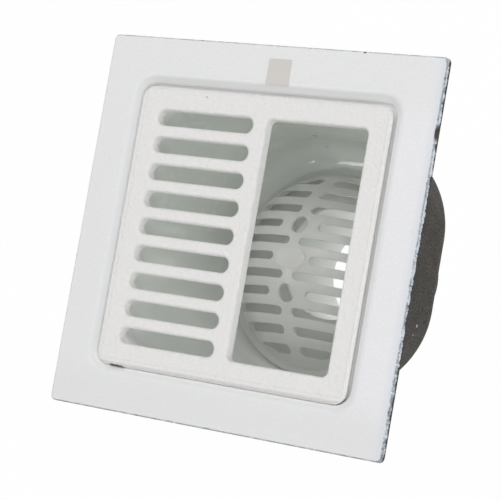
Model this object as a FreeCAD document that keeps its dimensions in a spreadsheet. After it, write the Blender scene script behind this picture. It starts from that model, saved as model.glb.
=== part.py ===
import FreeCAD, Part
import math
import os
import Sketcher

# Enamelled cast iron floor drain: a square rim over a deep sump with a round outlet spigot,
# a half grate in the rim recess and a domed strainer that lies loose over the outlet.
# Every piece is drawn with the rim face at height zero and then lifted by the overall height.
doc = FreeCAD.newDocument("floor_drain")
sheet = doc.addObject("Spreadsheet::Sheet", "sizes")

SIZES = [
    ("overall_height", 250.0),
    # square rim, wider at its foot by the casting draft
    ("rim_side", 304.8),
    ("rim_corner", 4.0),
    ("rim_thick", 6.0),
    ("rim_draft", 3.0),
    ("rim_edge_round", 2.0),
    # recess for the grate, rolled over at the rim
    ("grate_sink", 1.0),
    ("grate_gap", 0.2),
    ("recess_roll", 9.1),
    ("collar_wall", 7.0),
    ("ledge_thick", 7.0),
    # sump, square under the grate and round at the floor
    ("sump_depth", 152.4),
    ("sump_side_top", 208.0),
    ("sump_corner_top", 30.0),
    ("sump_side_low", 203.0),
    ("sump_low_flat", 10.0),
    ("sump_fillet", 21.5),
    ("sump_wall", 5.5),
    ("shell_low_flat", 40.0),
    ("floor_thick", 7.0),
    ("floor_fall", 2.5),
    # outlet spigot for a clamped pipe coupling
    ("outlet_radius", 55.6),
    ("outlet_bore", 48.0),
    ("outlet_lip", 5.0),
    ("outlet_root", 10.0),
    ("outlet_end_round", 1.5),
    # half grate, narrower at its foot by its draft and slid in its recess
    ("grate_side", 230.8),
    ("grate_corner", 11.5),
    ("grate_thick", 9.5),
    ("grate_draft", 18.0),
    ("grate_slip_side", 0.9),
    ("grate_slip_front", 1.9),
    ("grate_lip", 2.4),
    ("slot_width", 12.7),
    ("slot_length", 90.0),
    ("slot_pitch", 22.3),
    ("slot_count", 9),
    ("bar_width", 12.7),
    ("opening_corner", 5.0),
    # domed strainer
    ("dome_base", 83.2),
    ("dome_height", 62.5),
    ("dome_wall", 2.8),
    ("dome_root", 2.5),
    ("ring_radius", 89.7),
    ("ring_thick", 3.0),
    ("row_pitch", 14.3),
    ("row_slot", 7.1),
    ("row_reach", 78.0),
    ("gap_narrow", 8.8),
    ("gap_wide", 33.8),
    ("finger_radius", 7.5),
    ("boss_long", 27.0),
    ("boss_short", 16.0),
    ("boss_rise", 0.8),
    ("boss_root", 2.0),
    ("boss_border", 1.6),
    ("boss_inset", 0.5),
    ("strainer_climb", 57.7),
    ("strainer_clear", 0.2),
    # blank paper label on the rim
    ("label_side", 20.5),
    ("label_thick", 0.3),
    ("label_corner", 0.5),
    ("label_offset", 9.4),
    ("label_inset", 21.2),
]
for row, (name, value) in enumerate(SIZES, start=1):
    sheet.set("A%d" % row, name)
    sheet.set("B%d" % row, str(value))
    sheet.setAlias("B%d" % row, name)
doc.recompute()

NEAR = 0.01


def size(name):
    return float(sheet.get(name))


def bind(obj, prop, expression):
    obj.setExpression(prop, expression)


def new_body(label):
    body = doc.addObject("PartDesign::Body", label)
    body.Label = label
    return body


def plane_sketch(body, name, role="XY_Plane", height=None):
    """Sketch on one of the body's own origin planes, at a bound distance along its normal."""
    sketch = body.newObject("Sketcher::SketchObject", name)
    plane = [f for f in body.Origin.OriginFeatures if f.Role == role][0]
    sketch.AttachmentSupport = [(plane, "")]
    sketch.MapMode = "FlatFace"
    if height:
        bind(sketch, "AttachmentOffset.Base.z", height)
    return sketch


def driven(sketch, name, expression, *constraint):
    index = sketch.addConstraint(Sketcher.Constraint(*constraint))
    sketch.renameConstraint(index, name)
    bind(sketch, "Constraints." + name, expression)


def vec(x, y):
    return FreeCAD.Vector(x, y, 0)


def line(sketch, a, b):
    return sketch.addGeometry(Part.LineSegment(vec(*a), vec(*b)), False)


def arc(sketch, centre, radius, start, end):
    circle = Part.Circle(vec(*centre), FreeCAD.Vector(0, 0, 1), radius)
    return sketch.addGeometry(Part.ArcOfCircle(circle, math.radians(start), math.radians(end)), False)


def placed(sketch, name, kind, geometry, point, value, expression):
    """Bind a point's distance from the origin along one axis, on whichever side it lies."""
    if value < 0:
        driven(sketch, name, "-(%s)" % expression, kind, geometry, point, -1, 1, -value)
    else:
        driven(sketch, name, expression, kind, -1, 1, geometry, point, value)


def rounded_box(sketch, tag, box, corner, exprs, corner_expr):
    """Rounded rectangle: box holds left, right, low and high, exprs their distances from the origin."""
    left, right, low, high = box
    r = corner
    top = line(sketch, (left + r, high), (right - r, high))
    a_tr = arc(sketch, (right - r, high - r), r, 0, 90)
    side_r = line(sketch, (right, high - r), (right, low + r))
    a_br = arc(sketch, (right - r, low + r), r, 270, 360)
    bottom = line(sketch, (right - r, low), (left + r, low))
    a_bl = arc(sketch, (left + r, low + r), r, 180, 270)
    side_l = line(sketch, (left, low + r), (left, high - r))
    a_tl = arc(sketch, (left + r, high - r), r, 90, 180)
    for first, p, second, q in ((top, 2, a_tr, 2), (a_tr, 1, side_r, 1), (side_r, 2, a_br, 2),
                                (a_br, 1, bottom, 1), (bottom, 2, a_bl, 2), (a_bl, 1, side_l, 1),
                                (side_l, 2, a_tl, 2), (a_tl, 1, top, 1)):
        sketch.addConstraint(Sketcher.Constraint("Tangent", first, p, second, q))
    for edge in (top, bottom):
        sketch.addConstraint(Sketcher.Constraint("Horizontal", edge))
    for edge in (side_r, side_l):
        sketch.addConstraint(Sketcher.Constraint("Vertical", edge))
    for other in (a_br, a_bl, a_tl):
        sketch.addConstraint(Sketcher.Constraint("Equal", a_tr, other))
    driven(sketch, tag + "corner", corner_expr, "Radius", a_tr, r)
    spots = [("left", "DistanceX", side_l, left), ("right", "DistanceX", side_r, right),
             ("low", "DistanceY", bottom, low), ("high", "DistanceY", top, high)]
    for (name, kind, edge, value), expr in zip(spots, exprs):
        placed(sketch, tag + name, kind, edge, 1, value, expr)


def rounded_square(sketch, half, corner, half_expr, corner_expr):
    exprs = ["-(%s)" % half_expr, half_expr, "-(%s)" % half_expr, half_expr]
    rounded_box(sketch, "sq_", (-half, half, -half, half), corner, exprs, corner_expr)


def long_hole(sketch, left, right, mid, half, exprs):
    """Slot outline along x: the middles of its round ends, its row and its half width, each bound."""
    low_edge = line(sketch, (left, mid - half), (right, mid - half))
    right_end = arc(sketch, (right, mid), half, -90, 90)
    high_edge = line(sketch, (right, mid + half), (left, mid + half))
    left_end = arc(sketch, (left, mid), half, 90, 270)
    for first, p, second, q in ((low_edge, 2, right_end, 1), (right_end, 2, high_edge, 1),
                                (high_edge, 2, left_end, 1), (left_end, 2, low_edge, 1)):
        sketch.addConstraint(Sketcher.Constraint("Tangent", first, p, second, q))
    sketch.addConstraint(Sketcher.Constraint("Horizontal", low_edge))
    placed(sketch, "left", "DistanceX", left_end, 3, left, exprs[0])
    placed(sketch, "right", "DistanceX", right_end, 3, right, exprs[1])
    placed(sketch, "mid", "DistanceY", right_end, 3, mid, exprs[2])
    driven(sketch, "half", exprs[3], "Radius", right_end, half)


def disc(sketch, tag, radius, expression, centre=(0.0, 0.0), centre_exprs=None):
    index = sketch.addGeometry(Part.Circle(vec(*centre), FreeCAD.Vector(0, 0, 1), radius), False)
    if centre_exprs is None:
        sketch.addConstraint(Sketcher.Constraint("Coincident", index, 3, -1, 1))
    else:
        for kind, value, expr in zip(("DistanceX", "DistanceY"), centre, centre_exprs):
            if expr is None:
                sketch.addConstraint(Sketcher.Constraint("PointOnObject", index, 3, -2))
            else:
                placed(sketch, tag + kind, kind, index, 3, value, expr)
    driven(sketch, tag + "radius", expression, "Radius", index, radius)


def grow(body, kind, name, sketch, length=None, down=False):
    """Pad, pocket or other sketch feature, its length bound to the sheet."""
    feature = body.newObject("PartDesign::" + kind, name)
    feature.Profile = sketch
    if length == "all":
        feature.Type = "ThroughAll"
    elif length:
        bind(feature, "Length", length)
    if kind in ("Pad", "Pocket"):
        feature.Reversed = down
    sketch.Visibility = False
    body.Tip = feature
    doc.recompute()
    return feature


def loft(body, kind, name, first, second):
    feature = body.newObject("PartDesign::" + kind, name)
    feature.Profile = first
    feature.Sections = [second]
    body.Tip = feature
    doc.recompute()
    return feature


def turn(body, kind, name, sketch):
    """Full turn of a profile about the upright axis."""
    feature = body.newObject("PartDesign::" + kind, name)
    feature.Profile = sketch
    feature.ReferenceAxis = (sketch, ["V_Axis"])
    feature.Angle = 360.0
    body.Tip = feature
    doc.recompute()
    return feature


def edges_where(shape, test):
    """Names of the edges whose points all pass the test."""
    names = []
    for index, edge in enumerate(shape.Edges, start=1):
        first, last = edge.ParameterRange
        points = [edge.valueAt(first + (last - first) * step / 4.0) for step in range(5)]
        if all(test(p) for p in points):
            names.append("Edge%d" % index)
    return names


def round_edges(body, name, test, radius):
    base = body.Tip
    names = edges_where(base.Shape, test)
    if not names:
        raise RuntimeError("no edge to round for " + name)
    fillet = body.newObject("PartDesign::Fillet", name)
    fillet.Base = (base, names)
    bind(fillet, "Radius", "sizes." + radius)
    body.Tip = fillet
    doc.recompute()
    return fillet


def at_height(z):
    return lambda p: abs(p.z - z) < NEAR


def polyline_profile(sketch, points, exprs):
    """Closed profile of straight lines in the upright plane, each corner bound in x and y."""
    edges = [line(sketch, points[i], points[(i + 1) % len(points)]) for i in range(len(points))]
    for i, edge in enumerate(edges):
        nxt = edges[(i + 1) % len(edges)]
        sketch.addConstraint(Sketcher.Constraint("Coincident", edge, 2, nxt, 1))
    for i, (point, pair) in enumerate(zip(points, exprs)):
        for kind, value, expr in zip(("DistanceX", "DistanceY"), point, pair):
            placed(sketch, "p%d%s" % (i, kind), kind, edges[i], 1, value, expr)


# Body casting: rim plate, collar round the recess, sump and outlet in one pour.
# The rim plate widens downward by its draft, and its upper edge is rounded.
casting = new_body("drain_body")
SEAT = "(sizes.grate_sink + sizes.grate_thick)"
recess_half = size("grate_side") / 2 + size("grate_gap")
RECESS = "(sizes.grate_side / 2 + sizes.grate_gap)"
recess_corner = size("grate_corner") + size("grate_gap")
RECESS_CORNER = "(sizes.grate_corner + sizes.grate_gap)"

sk = plane_sketch(casting, "rim_outline")
rounded_square(sk, size("rim_side") / 2, size("rim_corner"), "sizes.rim_side / 2", "sizes.rim_corner")
rim = grow(casting, "Pad", "rim_plate", sk, "sizes.rim_thick", down=True)
bind(rim, "TaperAngle", "sizes.rim_draft")
doc.recompute()
round_edges(casting, "rim_edge", at_height(0.0), "rim_edge_round")

sk = plane_sketch(casting, "collar_outline")
rounded_square(sk, recess_half + size("collar_wall"), recess_corner + size("collar_wall"),
               RECESS + " + sizes.collar_wall", RECESS_CORNER + " + sizes.collar_wall")
grow(casting, "Pad", "seat_collar", sk, SEAT + " + sizes.ledge_thick", down=True)

# Sump shell: the outside follows the inside at the wall thickness, but keeps squarer corners below.
top_half = size("sump_side_top") / 2 + size("sump_wall")
low_half = size("sump_side_low") / 2 + size("sump_wall")
sk_top = plane_sketch(casting, "shell_top", height="-" + SEAT)
rounded_square(sk_top, top_half, size("sump_corner_top") + size("sump_wall"),
               "sizes.sump_side_top / 2 + sizes.sump_wall", "sizes.sump_corner_top + sizes.sump_wall")
sk_low = plane_sketch(casting, "shell_low", height="-(sizes.sump_depth + sizes.floor_thick)")
rounded_square(sk_low, low_half, low_half - size("shell_low_flat") / 2,
               "sizes.sump_side_low / 2 + sizes.sump_wall",
               "sizes.sump_side_low / 2 + sizes.sump_wall - sizes.shell_low_flat / 2")
loft(casting, "AdditiveLoft", "sump_shell", sk_top, sk_low)
shell_foot = -(size("sump_depth") + size("floor_thick"))

# Outlet spigot: a plain round end, joined to the sump floor by a curved root.
spigot_end = -size("overall_height")
sk = plane_sketch(casting, "spigot_outline", height="-sizes.overall_height")
disc(sk, "spigot_", size("outlet_radius"), "sizes.outlet_radius")
grow(casting, "Pad", "outlet_spigot", sk, "sizes.overall_height - sizes.sump_depth")
outlet_r = size("outlet_radius")
round_edges(casting, "spigot_root", lambda p: abs(math.hypot(p.x, p.y) - outlet_r) < NEAR
            and abs(p.z - shell_foot) < NEAR, "outlet_root")

# Recess for the grate with its rolled rim edge, then the sump hollow down to the floor.
sk = plane_sketch(casting, "recess_outline")
rounded_square(sk, recess_half, recess_corner, RECESS, RECESS_CORNER)
grow(casting, "Pocket", "grate_recess", sk, SEAT)
inner = recess_half + NEAR
round_edges(casting, "rim_roll", lambda p: abs(p.z) < NEAR and abs(p.x) < inner and abs(p.y) < inner,
            "recess_roll")

sk_top = plane_sketch(casting, "hollow_top", height="-" + SEAT)
rounded_square(sk_top, size("sump_side_top") / 2, size("sump_corner_top"),
               "sizes.sump_side_top / 2", "sizes.sump_corner_top")
sk_low = plane_sketch(casting, "hollow_low", height="-sizes.sump_depth")
rounded_square(sk_low, size("sump_side_low") / 2, (size("sump_side_low") - size("sump_low_flat")) / 2,
               "sizes.sump_side_low / 2", "(sizes.sump_side_low - sizes.sump_low_flat) / 2")
loft(casting, "SubtractiveLoft", "sump_hollow", sk_top, sk_low)
round_edges(casting, "sump_floor_fillet", at_height(-size("sump_depth")), "sump_fillet")

# The shell's foot is rounded after the hollow, so that the wall keeps its thickness round the foot.
round_edges(casting, "shell_foot_round", lambda p: abs(p.z - shell_foot) < NEAR
            and math.hypot(p.x, p.y) > size("sump_side_low") / 2, "sump_fillet + sizes.sump_wall")

# Sump floor: falls gently to the outlet bore, whose mouth is rounded.
flat_r = size("sump_side_low") / 2 - size("sump_fillet")
FLAT = "(sizes.sump_side_low / 2 - sizes.sump_fillet)"
depth = size("sump_depth")
sk = plane_sketch(casting, "floor_fall_profile", role="XZ_Plane")
bore = size("outlet_bore")
fall = size("floor_fall")
polyline_profile(sk, [(0.0, -depth), (flat_r, -depth), (bore, -depth - fall), (0.0, -depth - fall)],
                 [("0", "-sizes.sump_depth"), (FLAT, "-sizes.sump_depth"),
                  ("sizes.outlet_bore", "-(sizes.sump_depth + sizes.floor_fall)"),
                  ("0", "-(sizes.sump_depth + sizes.floor_fall)")])
turn(casting, "Groove", "floor_slope", sk)
sk = plane_sketch(casting, "bore_outline", height="-sizes.overall_height")
disc(sk, "bore_", size("outlet_bore"), "sizes.outlet_bore")
grow(casting, "Pocket", "outlet_bore_cut", sk, "sizes.overall_height - sizes.sump_depth", down=True)
round_edges(casting, "bore_mouth", lambda p: abs(math.hypot(p.x, p.y) - bore) < NEAR
            and abs(p.z + depth + fall) < NEAR, "outlet_lip")
round_edges(casting, "spigot_end_round", at_height(spigot_end), "outlet_end_round")
bind(casting, "Placement.Base.z", "sizes.overall_height")

# Half grate: a flat casting, slotted over one half and open over the other, lips rounded on top.
# Its sides draw in toward the foot, and it lies loose on the recess ledge, slid to the front and one side.
grate = new_body("half_grate")
sk = plane_sketch(grate, "grate_outline")
rounded_square(sk, size("grate_side") / 2, size("grate_corner"),
               "sizes.grate_side / 2", "sizes.grate_corner")
plate = grow(grate, "Pad", "grate_plate", sk, "sizes.grate_thick", down=True)
bind(plate, "TaperAngle", "-sizes.grate_draft")
doc.recompute()

sk = plane_sketch(grate, "slot_outline")
slot_half = size("slot_width") / 2
slot_out = size("bar_width") / 2 + size("slot_length")
slot_in = size("bar_width") / 2
first_row = size("slot_pitch") * (size("slot_count") - 1) / 2
long_hole(sk, -slot_out + slot_half, -slot_in - slot_half, first_row, slot_half,
          ["-(sizes.bar_width / 2 + sizes.slot_length - sizes.slot_width / 2)",
           "-(sizes.bar_width / 2 + sizes.slot_width / 2)",
           "sizes.slot_pitch * (sizes.slot_count - 1) / 2", "sizes.slot_width / 2"])
slot = grow(grate, "Pocket", "grate_slot", sk, "all")
rows = grate.newObject("PartDesign::LinearPattern", "grate_slots")
rows.Originals = [slot]
rows.Direction = (sk, ["V_Axis"])
rows.Reversed = True
bind(rows, "Length", "sizes.slot_pitch * (sizes.slot_count - 1)")
bind(rows, "Occurrences", "sizes.slot_count")
grate.Tip = rows
doc.recompute()

sk = plane_sketch(grate, "opening_outline")
tall = first_row + slot_half
TALL = "(sizes.slot_pitch * (sizes.slot_count - 1) / 2 + sizes.slot_width / 2)"
rounded_box(sk, "open_", (slot_in, slot_out, -tall, tall), size("opening_corner"),
            ["sizes.bar_width / 2", "sizes.bar_width / 2 + sizes.slot_length", "-" + TALL, TALL],
            "sizes.opening_corner")
grow(grate, "Pocket", "grate_opening", sk, "all")
round_edges(grate, "grate_lips", at_height(0.0), "grate_lip")
bind(grate, "Placement.Base.x", "-sizes.grate_slip_side")
bind(grate, "Placement.Base.y", "-sizes.grate_slip_front")
bind(grate, "Placement.Base.z", "sizes.overall_height - sizes.grate_sink")

# Domed strainer: a thin spherical cap on a flat ring, slotted in rows across the dome.
# The cap's outer sphere follows from its base radius and height.
strainer = new_body("dome_strainer")
base = size("dome_base")
rise = size("dome_height")
wall = size("dome_wall")
ring = size("ring_radius")
thick = size("ring_thick")
sphere = (base * base + rise * rise) / (2 * rise)
SPHERE = "((sizes.dome_base ^ 2 + sizes.dome_height ^ 2) / (2 * sizes.dome_height))"
centre = rise - sphere
foot = math.sqrt((sphere - wall) ** 2 - (centre + thick) ** 2)
sk = plane_sketch(strainer, "dome_profile", role="XZ_Plane")
start = math.degrees(math.atan2(-centre, base))
outer = arc(sk, (0.0, centre), sphere, start, 90)
shelf = line(sk, (base, 0.0), (ring - thick / 2, 0.0))
nose = arc(sk, (ring - thick / 2, -thick / 2), thick / 2, -90, 90)
under = line(sk, (ring - thick / 2, -thick), (foot, -thick))
begin = math.degrees(math.atan2(-thick - centre, foot))
inner_arc = arc(sk, (0.0, centre), sphere - wall, begin, 90)
crown = line(sk, (0.0, rise - wall), (0.0, rise))
for first, p, second, q in ((outer, 1, shelf, 1), (under, 2, inner_arc, 1),
                            (inner_arc, 2, crown, 1), (crown, 2, outer, 2)):
    sk.addConstraint(Sketcher.Constraint("Coincident", first, p, second, q))
sk.addConstraint(Sketcher.Constraint("Tangent", shelf, 2, nose, 2))
sk.addConstraint(Sketcher.Constraint("Tangent", nose, 1, under, 1))
sk.addConstraint(Sketcher.Constraint("PointOnObject", outer, 3, -2))
sk.addConstraint(Sketcher.Constraint("Coincident", outer, 3, inner_arc, 3))
sk.addConstraint(Sketcher.Constraint("PointOnObject", crown, 1, -2))
sk.addConstraint(Sketcher.Constraint("PointOnObject", crown, 2, -2))
sk.addConstraint(Sketcher.Constraint("PointOnObject", shelf, 1, -1))
sk.addConstraint(Sketcher.Constraint("PointOnObject", shelf, 2, -1))
sk.addConstraint(Sketcher.Constraint("Horizontal", under))
driven(sk, "base", "sizes.dome_base", "DistanceX", -1, 1, shelf, 1, base)
driven(sk, "rise", "sizes.dome_height", "DistanceY", -1, 1, crown, 2, rise)
driven(sk, "skin", SPHERE + " - sizes.dome_wall", "Radius", inner_arc, sphere - wall)
driven(sk, "ring", "sizes.ring_radius - sizes.ring_thick / 2",
       "DistanceX", -1, 1, shelf, 2, ring - thick / 2)
driven(sk, "thick", "sizes.ring_thick / 2", "Radius", nose, thick / 2)
turn(strainer, "Revolution", "dome_shell", sk)
round_edges(strainer, "dome_root_fillet", lambda p: abs(p.z) < NEAR
            and abs(math.hypot(p.x, p.y) - base) < NEAR, "dome_root")

# Plain oval on the crown: a raised border round a slightly sunk field.
boss_half = size("boss_short") / 2
boss_end = (size("boss_long") - size("boss_short")) / 2
BOSS_END = "(sizes.boss_long - sizes.boss_short) / 2"
sk = plane_sketch(strainer, "boss_outline", height="sizes.dome_height - sizes.boss_root")
long_hole(sk, -boss_end, boss_end, 0.0, boss_half, ["-" + BOSS_END, BOSS_END, "0", "sizes.boss_short / 2"])
grow(strainer, "Pad", "crown_boss", sk, "sizes.boss_root + sizes.boss_rise")
sk = plane_sketch(strainer, "field_outline", height="sizes.dome_height + sizes.boss_rise")
long_hole(sk, -boss_end, boss_end, 0.0, boss_half - size("boss_border"),
          ["-" + BOSS_END, BOSS_END, "0", "sizes.boss_short / 2 - sizes.boss_border"])
grow(strainer, "Pocket", "crown_field", sk, "sizes.boss_inset")


def strainer_slot(sketch, step, gap):
    """One slot right of the middle: round at its inner end, cut by the reach circle at its outer end."""
    tag = "row%d_" % step
    half = size("row_slot") / 2
    reach = size("row_reach")
    mid = size("row_pitch") * step
    inner_x = size(gap) / 2 + half
    x_low = math.sqrt(reach ** 2 - (mid - half) ** 2)
    x_high = math.sqrt(reach ** 2 - (mid + half) ** 2)
    low_edge = line(sketch, (inner_x, mid - half), (x_low, mid - half))
    a0 = math.degrees(math.atan2(mid - half, x_low))
    a1 = math.degrees(math.atan2(mid + half, x_high))
    end = arc(sketch, (0.0, 0.0), reach, a0, a1)
    high_edge = line(sketch, (x_high, mid + half), (inner_x, mid + half))
    nose_arc = arc(sketch, (inner_x, mid), half, 90, 270)
    sketch.addConstraint(Sketcher.Constraint("Coincident", low_edge, 2, end, 1))
    sketch.addConstraint(Sketcher.Constraint("Coincident", end, 2, high_edge, 1))
    sketch.addConstraint(Sketcher.Constraint("Tangent", high_edge, 2, nose_arc, 1))
    sketch.addConstraint(Sketcher.Constraint("Tangent", nose_arc, 2, low_edge, 1))
    sketch.addConstraint(Sketcher.Constraint("Horizontal", low_edge))
    sketch.addConstraint(Sketcher.Constraint("Coincident", end, 3, -1, 1))
    driven(sketch, tag + "reach", "sizes.row_reach", "Radius", end, reach)
    driven(sketch, tag + "half", "sizes.row_slot / 2", "Radius", nose_arc, half)
    driven(sketch, tag + "gap", "sizes.%s / 2 + sizes.row_slot / 2" % gap,
           "DistanceX", -1, 1, nose_arc, 3, inner_x)
    if step:
        driven(sketch, tag + "mid", "sizes.row_pitch * %d" % step, "DistanceY", -1, 1, nose_arc, 3, mid)
    else:
        sketch.addConstraint(Sketcher.Constraint("PointOnObject", nose_arc, 3, -1))


def mirrored(body, name, original, planes):
    """The cut and its mirror images across the upright planes named."""
    roles = {f.Role: f for f in body.Origin.OriginFeatures}
    multi = body.newObject("PartDesign::MultiTransform", name)
    multi.Originals = [original]
    steps = []
    for role in planes:
        mirror = body.newObject("PartDesign::Mirrored", "%s_%s" % (name, role))
        mirror.MirrorPlane = (roles[role], [""])
        steps.append(mirror)
    multi.Transformations = steps
    body.Tip = multi
    doc.recompute()
    return multi


# Slot rows: the middle row stops short of the oval, and the second row each way short of a finger hole.
SIDE_GAPS = ("gap_narrow", "gap_wide", "gap_narrow", "gap_narrow", "gap_narrow")
sk = plane_sketch(strainer, "side_rows_outline")
for step, gap in enumerate(SIDE_GAPS, start=1):
    strainer_slot(sk, step, gap)
cut = grow(strainer, "Pocket", "side_rows", sk, "all", down=True)
mirrored(strainer, "side_rows_all", cut, ["YZ_Plane", "XZ_Plane"])
sk = plane_sketch(strainer, "middle_row_outline")
strainer_slot(sk, 0, "gap_wide")
cut = grow(strainer, "Pocket", "middle_row", sk, "all", down=True)
mirrored(strainer, "middle_row_both", cut, ["YZ_Plane"])
sk = plane_sketch(strainer, "finger_hole_outline")
disc(sk, "finger_", size("finger_radius"), "sizes.finger_radius", (0.0, 2 * size("row_pitch")),
     (None, "2 * sizes.row_pitch"))
cut = grow(strainer, "Pocket", "finger_hole", sk, "all", down=True)
mirrored(strainer, "finger_holes", cut, ["XZ_Plane"])

# The strainer has slid to one side: its ring climbs the floor fillet there and rests on the floor opposite.
NOSE = "(sizes.ring_radius - sizes.ring_thick / 2)"
ROLL = "(sizes.sump_fillet - sizes.ring_thick / 2)"
SLIDE = "(%s + %s * sin(sizes.strainer_climb * 1 deg) - %s)" % (FLAT, ROLL, NOSE)
PAST = "max(0; %s - %s - %s)" % (NOSE, SLIDE, FLAT)
LIFT_HIGH = "(%s * (1 - cos(sizes.strainer_climb * 1 deg)))" % ROLL
LIFT_LOW = "(%s - sqrt(%s ^ 2 - (%s) ^ 2))" % (ROLL, ROLL, PAST)
TILT = "asin((%s - %s) / (2 * %s))" % (LIFT_HIGH, LIFT_LOW, NOSE)
tilt_axis = FreeCAD.Vector(-1, 0, 0)
strainer.Placement = FreeCAD.Placement(FreeCAD.Vector(), FreeCAD.Rotation(tilt_axis, NEAR))
bind(strainer, "Placement.Rotation.Angle", TILT)
bind(strainer, "Placement.Base.y", "-" + SLIDE)
bind(strainer, "Placement.Base.z", "sizes.overall_height - sizes.sump_depth + sizes.ring_thick"
     " + sizes.strainer_clear + (%s + %s) / 2" % (LIFT_HIGH, LIFT_LOW))

# Blank paper label stuck on the rim face.
label = new_body("label")
sk = plane_sketch(label, "label_outline")
lx = size("label_offset")
ly = size("rim_side") / 2 - size("label_inset")
lh = size("label_side") / 2
LABEL_Y = "(sizes.rim_side / 2 - sizes.label_inset)"
rounded_box(sk, "label_", (lx - lh, lx + lh, ly - lh, ly + lh), size("label_corner"),
            ["sizes.label_offset - sizes.label_side / 2", "sizes.label_offset + sizes.label_side / 2",
             LABEL_Y + " - sizes.label_side / 2", LABEL_Y + " + sizes.label_side / 2"],
            "sizes.label_corner")
grow(label, "Pad", "label_sheet", sk, "sizes.label_thick")
bind(label, "Placement.Base.z", "sizes.overall_height")

doc.recompute()
for obj in doc.Objects:
    if "Invalid" in obj.State or "Error" in obj.State:
        raise RuntimeError("%s did not compute: %s" % (obj.Name, obj.State))

os.makedirs("parts", exist_ok=True)
for piece in (casting, grate, strainer, label):
    shape = piece.Shape
    if shape.isNull() or not shape.isValid():
        raise RuntimeError("bad shape: " + piece.Label)
    box = shape.BoundBox
    print(piece.Label, "solids", len(shape.Solids), "volume %.1f cm3" % (shape.Volume / 1000.0),
          "x %.2f %.2f" % (box.XMin, box.XMax), "y %.2f %.2f" % (box.YMin, box.YMax),
          "z %.2f %.2f" % (box.ZMin, box.ZMax))
    shape.exportStep("parts/%s.step" % piece.Label)
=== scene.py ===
import bpy
from math import radians
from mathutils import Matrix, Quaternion, Vector


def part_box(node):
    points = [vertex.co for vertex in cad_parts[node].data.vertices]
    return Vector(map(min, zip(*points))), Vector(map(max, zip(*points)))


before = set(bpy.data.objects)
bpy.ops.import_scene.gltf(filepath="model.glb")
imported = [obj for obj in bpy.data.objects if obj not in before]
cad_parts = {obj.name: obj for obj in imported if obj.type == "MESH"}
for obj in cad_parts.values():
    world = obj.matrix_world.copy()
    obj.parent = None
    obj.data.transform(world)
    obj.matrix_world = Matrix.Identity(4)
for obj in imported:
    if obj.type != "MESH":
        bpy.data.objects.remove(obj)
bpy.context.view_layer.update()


# Drain body: one grey iron casting with the square rim, the recess, the sump and the outlet.
# Everything that meets water is covered with fired white enamel over a dark ground coat.
# The back of the casting keeps its bare foundry skin, and the rim's edge shows all three.
class Wire:
    """One output of a finish's nodes; arithmetic on it adds Math nodes to the same finish."""

    def __init__(self, tree, socket=None):
        self.tree = tree
        self.socket = socket

    def node(self, kind, links, out=0, **settings):
        """The output of a new node: its settings are set first, then its sockets' values or wires."""
        made = self.tree.nodes.new("ShaderNode" + kind)
        for name, value in settings.items():
            setattr(made, name, value)
        for name, value in links.items():
            if isinstance(value, Wire):
                self.tree.links.new(value.socket, made.inputs[name])
            else:
                made.inputs[name].default_value = value
        return Wire(self.tree, made.outputs[out])

    def maths(self, operation, *values):
        return self.node("Math", dict(enumerate(values)), operation=operation)

    def __add__(self, other):
        return self.maths("ADD", self, other)

    def __sub__(self, other):
        return self.maths("SUBTRACT", self, other)

    def __rsub__(self, other):
        return self.maths("SUBTRACT", other, self)

    def __neg__(self):
        return 0.0 - self

    def __mul__(self, other):
        return self.maths("MULTIPLY", self, other)

    def __or__(self, other):
        return self.maths("MAXIMUM", self, other)

    __radd__ = __add__
    __rmul__ = __mul__
    __ror__ = __or__


def finish_of(name):
    """A new finish: its material, its shader, and the place on the piece as a wire."""
    material = bpy.data.materials.new(name)
    material.use_nodes = True
    shader = material.node_tree.nodes["Principled BSDF"]
    place = Wire(material.node_tree).node("TexCoord", {}, out="Object")
    return material, shader, place


def facing_at(place):
    """The way that the surface faces."""
    return place.node("NewGeometry", {}, out="Normal")


def parts_of(vector):
    return [vector.node("SeparateXYZ", {"Vector": vector}, out=axis) for axis in range(3)]


def size_of(value):
    return value.maths("ABSOLUTE", value)


def rise(value, low, high):
    """0 below low, 1 above high, smooth between."""
    return value.node("MapRange", {"Value": value, "From Min": low, "From Max": high},
                      interpolation_type="SMOOTHSTEP")


def grain(place, size, detail=2.0, rough=0.5):
    """Cloudy noise from 0 to 1 whose lumps are about size metres across."""
    return place.node("TexNoise", {"Vector": place, "Scale": 1.0 / size,
                                   "Detail": detail, "Roughness": rough})


def blend(mask, under, over):
    """One colour over another; sockets 0, 6 and 7 of a Mix node are its factor and its two colours."""
    return mask.node("Mix", {0: mask, 6: under, 7: over}, out=2, data_type="RGBA")


def spot(place, centre, radius):
    """1 inside a round spot at one point of the piece, fading at its edge."""
    gap = place.node("VectorMath", {0: place, 1: centre}, out="Value", operation="DISTANCE")
    return 1.0 - rise(gap, radius * 0.6, radius * 1.4)


def spots(place, marks):
    """Several round spots in one mask, each given by its centre, its radius and its strength."""
    mask = 0.0
    for centre, radius, strength in marks:
        mask = mask | spot(place, centre, radius) * strength
    return mask


def connect(wire, shader, name):
    wire.tree.links.new(wire.socket, shader.inputs[name])


def bumped(height, distance):
    return height.node("Bump", {"Height": height, "Distance": distance, "Strength": 1.0})


def dress(node, material):
    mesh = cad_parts[node].data
    mesh.materials.clear()
    mesh.materials.append(material)


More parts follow.
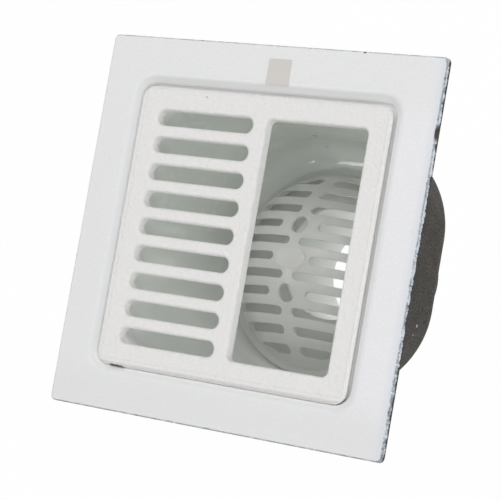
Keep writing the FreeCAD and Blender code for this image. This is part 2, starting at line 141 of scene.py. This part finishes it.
ENAMEL = (0.810, 0.810, 0.815, 1.0)
RIM_PAINTED_LIGHT = (0.850, 0.850, 0.875, 1.0)
ENAMEL_GREY = (0.54, 0.54, 0.545, 1.0)
ROLL_PAINTED_SHADE = (0.69, 0.70, 0.70, 1.0)
RECESS_PAINTED_LIGHT = (0.93, 0.93, 0.925, 1.0)
ENAMEL_DEEP = (0.81, 0.86, 0.805, 1.0)
SUMP_PAINTED_LIGHT = (0.935, 0.96, 0.925, 1.0)
SUMP_PAINTED_REFLECTION = (0.95, 0.955, 0.945, 1.0)
ENAMEL_THIN = (0.60, 0.65, 0.71, 1.0)
ENAMEL_BURNT = (0.23, 0.26, 0.29, 1.0)
ENAMEL_CHIPPED = (0.10, 0.10, 0.09, 1.0)
GROUND_COAT = (0.024, 0.022, 0.023, 1.0)
IRON_DARK = (0.004, 0.0035, 0.003, 1.0)
IRON_LIGHT = (0.066, 0.055, 0.041, 1.0)
RUST = (0.045, 0.012, 0.010, 1.0)
IRON_ROUGH = 0.70
RIM_ROUGH = 0.38
SUMP_ROUGH = 0.04
SKIN_DEPTH = 0.0004
RIM_SIDE = 0.0066
rim_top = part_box("drain_body")[1][2]

casting, shader, place = finish_of("enamelled_iron_casting")
x, y, z = parts_of(place)
nx, ny, nz = parts_of(facing_at(place))
squared = x * x + y * y
outward = (x * nx + y * ny) * squared.maths("INVERSE_SQRT", squared)
wet = rise(nz, 0.35, 0.6) | rise(-outward, 0.02, 0.12)
depth_mm = (rim_top - z) * 1000.0
inside = rise(depth_mm, 10.0, 35.0)

# Rim edge: the enamel thins over the arris, with a burnt line along it, and breaks up on the side,
# most at the front and at its foot. One patch on the right is bare iron.
BARE_PATCH = (0.1525, 0.0950, 0.2455)
BARE_PATCH_RADIUS = 0.0062
side = rise(outward, 0.25, 0.5) * z.maths("GREATER_THAN", z, rim_top - RIM_SIDE)
lumps = grain(place, 0.006, 3.0, 0.65)
flecks = grain(place, 0.0016, 2.0, 0.6)
front = rise(-y, 0.0, 0.12)
arris = rise(outward, 0.05, 0.3) * rise(depth_mm, 0.05, 0.8)
broken = lumps + (flecks - 0.5) * 0.5
burnt = arris * rise(broken + front * 0.16, 0.50, 0.66)
burnt_line = arris * (1.0 - rise(depth_mm, 1.3, 2.1)) * rise(broken, 0.36, 0.52)
foot = rise(depth_mm + (lumps - 0.5) * 7.0 + (flecks - 0.5) * 3.0, 3.3, 4.3)
bare = foot | rise(flecks + (lumps - 0.5) * 0.6, 0.66, 0.74)
patch = spot(place, BARE_PATCH, BARE_PATCH_RADIUS) * rise(lumps, 0.25, 0.4)
enamelled = (wet | side) * (1.0 - side * (bare | patch))

# Iron: mottled skin, the ground coat on the rim's side, one fleck of rust and two splashes of enamel.
RUST_FLECK = (0.1076, 0.0252, 0.1357)
RUST_RADIUS = 0.0012
SPLASHES = (((0.1071, -0.0439, 0.1341), 0.0012, 0.7), ((0.1060, -0.0515, 0.1362), 0.0008, 0.7))
grit = grain(place, 0.0014, 2.0) * 0.75 + grain(place, 0.012, 4.0, 0.65) * 0.25
iron = blend(rise(grit, 0.38, 0.66), IRON_DARK, IRON_LIGHT)
iron = blend(side * (1.0 - patch), iron, GROUND_COAT)
iron = blend(spot(place, RUST_FLECK, RUST_RADIUS), iron, RUST)
iron = blend(spots(place, SPLASHES), iron, ENAMEL_THIN)

# Rim face: finely speckled, with painted light brightest at the middle of the right side,
# greyer at the front, and darker and bluer toward the right edge.
right_middle_painted_light = rise(x, 0.10, 0.13) * (1.0 - rise(size_of(y), 0.09, 0.13))
glaze = blend(right_middle_painted_light, ENAMEL, RIM_PAINTED_LIGHT)
glaze = blend(grain(place, 0.0016) * 0.40, glaze, ENAMEL_GREY)
glaze = blend(rise(-y, 0.11, 0.14) * 0.14, glaze, ENAMEL_GREY)
glaze = blend(rise(x, 0.143, 0.1524) * 0.5, glaze, ENAMEL_THIN)

# Roll and recess: painted shade greys the roll, then painted light whitens the recess,
# starting higher at the right and the front.
right_front_light_shift = rise(x - y, -0.03, 0.03)
glaze = blend(rise(depth_mm, 0.05, 1.6), glaze, ROLL_PAINTED_SHADE)
glaze = blend(rise(depth_mm + right_front_light_shift * 1.5, 1.2, 6.0), glaze, RECESS_PAINTED_LIGHT)

# Sump: greenish white, with painted light making it paler toward the front and on the floor,
# and pale blotches of painted reflection.
sump = blend(rise(0.02 - y, 0.0, 0.08) | rise(0.11 - z, 0.0, 0.01), ENAMEL_DEEP, SUMP_PAINTED_LIGHT)
# Painted reflections: pale blotches over the sump's enamel.
sump = blend(rise(grain(place, 0.014, 3.0, 0.6), 0.56, 0.64) * 0.4, sump, SUMP_PAINTED_REFLECTION)
glaze = blend(inside, glaze, sump)

# Wear over all of it: faint clouds, the thin and burnt edge, two pinholes and a chip on the back edge.
CHIPS = (((-0.0191, 0.1020, 0.1273), 0.0020, 1.0), ((-0.0187, 0.0967, 0.1052), 0.0008, 0.4),
         ((0.0820, 0.1518, 0.2494), 0.0013, 1.0))
glaze = blend(grain(place, 0.05, 3.0) * 0.06, glaze, ENAMEL_THIN)
glaze = blend(arris, glaze, ENAMEL_THIN)
glaze = blend(burnt | burnt_line * 0.8, glaze, ENAMEL_BURNT)
glaze = blend(spots(place, CHIPS), glaze, ENAMEL_CHIPPED)

smoother = (IRON_ROUGH - RIM_ROUGH) + inside * (RIM_ROUGH - SUMP_ROUGH)
skin = grain(place, 0.0018, 4.0, 0.6) * 2.5 * (1.0 - enamelled)
ripple = grain(place, 0.012, 1.0) * 0.25 * enamelled
connect(blend(enamelled, iron, glaze), shader, "Base Color")
connect(IRON_ROUGH - enamelled * smoother, shader, "Roughness")
connect(bumped(skin + ripple + lumps * side * 1.5, SKIN_DEPTH), shader, "Normal")
dress("drain_body", casting)

# Domed strainer: a white moulded plastic cap with rows of slots and two finger holes, thin enough
# to let some light through. It lies loose over the outlet, slid toward the front of the sump floor.
STRAINER = (0.85, 0.85, 0.805, 1.0)
STRAINER_SHADE = (0.82, 0.82, 0.775, 1.0)
STRAINER_RING_PAINTED_LIGHT = (0.95, 0.95, 0.92, 1.0)
RING_TOP = 0.008
RING_FADE = 0.006
LIGHT_REACH = 0.016
strainer_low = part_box("dome_strainer")[0][2]
cap, shader, place = finish_of("strainer_white")
# Painted light: the foot ring at the bottom of the cap is painted whiter than the rest.
ring = 1.0 - rise(parts_of(place)[2] - strainer_low, RING_TOP, RING_TOP + RING_FADE)
plastic = blend(grain(place, 0.03, 3.0), STRAINER, STRAINER_SHADE)
connect(blend(ring, plastic, STRAINER_RING_PAINTED_LIGHT), shader, "Base Color")
connect(0.30 + grain(place, 0.006) * 0.10, shader, "Roughness")
connect(bumped(grain(place, 0.012, 1.0), 0.0001), shader, "Normal")
shader.inputs["Subsurface Weight"].default_value = 0.85
shader.inputs["Subsurface Radius"].default_value = (1.0, 1.0, 1.0)
shader.inputs["Subsurface Scale"].default_value = LIGHT_REACH
dress("dome_strainer", cap)

# Half grate: a flat iron casting with nine slots beside one large opening, lying in the recess.
# Its white coating is finely pebbled, with painted light on the side walls, and darker along the front lip.
# Near the front left corner the lip is chipped to the metal, and one speck shows at the back.
COATING = (0.79, 0.783, 0.773, 1.0)
COATING_SHADE = (0.55, 0.543, 0.535, 1.0)
COATING_PAINTED_LIGHT = (0.92, 0.915, 0.905, 1.0)
COATING_LIP_DARK = (0.52, 0.51, 0.49, 1.0)
CHIPPED = (0.070, 0.062, 0.052, 1.0)
OUTER_WALL = 0.112
BEVEL_LINE = 0.1108
BEVEL_LINE_WIDTH = 0.0008
FRONT_LIP = -0.1136
CHIP_START = -0.1015
CHIP_END = -0.0880
CHIP_EDGE = -0.1166
SPECK = (-0.0534, 0.1067, 0.2490)
SPECK_RADIUS = 0.0008
PEBBLE_SIZE = 0.0026
PEBBLE_DEPTH = 0.0009
coat, shader, place = finish_of("grate_pebbled_white")
x, y = parts_of(place)[:2]
top = rise(parts_of(facing_at(place))[2], 0.3, 0.8)
pebbles = grain(place, PEBBLE_SIZE)
ragged = grain(place, 0.003, 3.0, 0.6) - 0.5
chip_middle = (CHIP_START + CHIP_END) / 2
along = 1.0 - rise(size_of(x - chip_middle) + ragged * 0.004, 0.0056, 0.0068)
chipped = along * (1.0 - rise(y - CHIP_EDGE + ragged * 0.0015, 0.0008, 0.0014))
reach = size_of(x) | size_of(y)
# Painted light: the side walls are painted whiter, the outer ones by the gap most.
side_painted_light = 0.70 + rise(reach, OUTER_WALL, OUTER_WALL + 0.002) * 0.30
white = blend(pebbles * 0.26, COATING, COATING_SHADE)
white = blend(side_painted_light * (1.0 - top), white, COATING_PAINTED_LIGHT)
# The top of the front lip is darker.
white = blend(rise(FRONT_LIP - y, -0.0006, 0.0002) * top * 0.5, white, COATING_LIP_DARK)
white = blend(spot(place, SPECK, SPECK_RADIUS) * 0.5, white, CHIPPED)
groove = 1.0 - rise(size_of(reach - BEVEL_LINE), 0.0, BEVEL_LINE_WIDTH)
connect(blend(chipped, white, CHIPPED), shader, "Base Color")
connect(0.34 + pebbles * 0.10 + chipped * 0.3, shader, "Roughness")
connect(bumped(pebbles - chipped - groove * 0.25, PEBBLE_DEPTH), shader, "Normal")
dress("half_grate", coat)

# Label: a small square of plain pale paper, cut from sheet.
# It is glued flat to the finished rim, behind the grate.
PAPER = (0.64, 0.61, 0.585, 1.0)
PAPER_SHADE = (0.60, 0.57, 0.545, 1.0)
paper, shader, place = finish_of("label_plain_paper")
connect(blend(grain(place, 0.002, 4.0), PAPER, PAPER_SHADE), shader, "Base Color")
connect(0.6 + grain(place, 0.001) * 0.15, shader, "Roughness")
dress("label", paper)

# Studio: a plain white floor in a white room, 15 cm below the outlet so that light comes up through it.
# Two broad lamps give soft even light, one at the back reaches into the sump, two add highlights.
# What the camera and reflections see of floor and room is white; the light stays at a plain level.
WHITE = (1.0, 1.0, 1.0, 1.0)
FLOOR_GREY = (0.92, 0.92, 0.92, 1.0)
FLOOR_HEIGHT = -0.15
FLOOR_SIZE = 8.0
FLOOR_SHARE = 0.97  # the rest shows the object's shadow
ROOM_LIGHT = 0.42


def show_white(tree, share, lit, white, output):
    """Shows white to rays from the camera, from gloss and through glass, and the lit side to the others."""
    start = Wire(tree)
    seen = 0.0
    for kind in ("Camera", "Glossy", "Transmission"):
        seen = seen | start.node("LightPath", {}, out="Is %s Ray" % kind)
    mixed = start.node("MixShader", {0: seen * share, 1: Wire(tree, lit.outputs[0]), 2: white})
    tree.links.new(mixed.socket, tree.nodes[output].inputs["Surface"])


bpy.ops.mesh.primitive_plane_add(size=FLOOR_SIZE, location=(0.0, 0.0, FLOOR_HEIGHT))
floor = bpy.context.object
floor.name = "floor"
ground, shader, place = finish_of("floor_white")
shader.inputs["Base Color"].default_value = FLOOR_GREY
shader.inputs["Roughness"].default_value = 0.9
glow = place.node("Emission", {"Color": WHITE, "Strength": 1.0})
show_white(ground.node_tree, FLOOR_SHARE, shader, glow, "Material Output")
floor.data.materials.append(ground)

room = bpy.data.worlds.new("white_room")
room.use_nodes = True
light = room.node_tree.nodes["Background"]
light.inputs["Color"].default_value = WHITE
light.inputs["Strength"].default_value = ROOM_LIGHT
glow = Wire(room.node_tree).node("Background", {"Color": WHITE, "Strength": 1.0})
show_white(room.node_tree, 1.0, light, glow, "World Output")

# Each lamp: the way to it from the rim's middle, its width in metres and its watts.
LAMP_DISTANCE = 3.0
LAMPS = {
    "lamp_right": ((0.87, -0.28, 0.40), 2.0, 30.0),
    "lamp_left": ((-0.40, 0.47, 0.79), 2.2, 22.0),
    "lamp_back": ((0.45, 0.50, 0.74), 1.0, 14.0),
    "lamp_front": ((0.38, -0.66, 0.64), 0.5, 4.0),
    "lamp_side": ((-0.47, -0.31, 0.83), 0.6, 13.0),
}
scene = bpy.context.scene
scene.world = room
rim_middle = Vector((0.0, 0.0, rim_top))
for name, (toward, width, watts) in LAMPS.items():
    lamp = bpy.data.lights.new(name, "AREA")
    lamp.shape = "SQUARE"
    lamp.size = width
    lamp.energy = watts
    lamp_object = bpy.data.objects.new(name, lamp)
    lamp_object.location = rim_middle + Vector(toward).normalized() * LAMP_DISTANCE
    lamp_object.rotation_mode = "QUATERNION"
    lamp_object.rotation_quaternion = (-Vector(toward)).to_track_quat("-Z", "Y")
    scene.collection.objects.link(lamp_object)

# Camera: its place and the point that it looks at, from the rim's middle, and its turn about its sight.
CAMERA_PLACE = Vector((0.7842, -0.1031, 1.2757))
CAMERA_AIM = Vector((0.0113, -0.0099, 0.0))
CAMERA_ROLL = radians(-74.23)
camera = bpy.data.cameras.new("camera")
camera.sensor_width = 36.0
camera.lens = 138.7
camera_object = bpy.data.objects.new("camera", camera)
camera_object.location = rim_middle + CAMERA_PLACE
sight = (CAMERA_AIM - CAMERA_PLACE).to_track_quat("-Z", "Y")
camera_object.rotation_mode = "QUATERNION"
camera_object.rotation_quaternion = sight @ Quaternion((0.0, 0.0, 1.0), CAMERA_ROLL)
scene.collection.objects.link(camera_object)
scene.camera = camera_object
scene.view_settings.view_transform = "Standard"
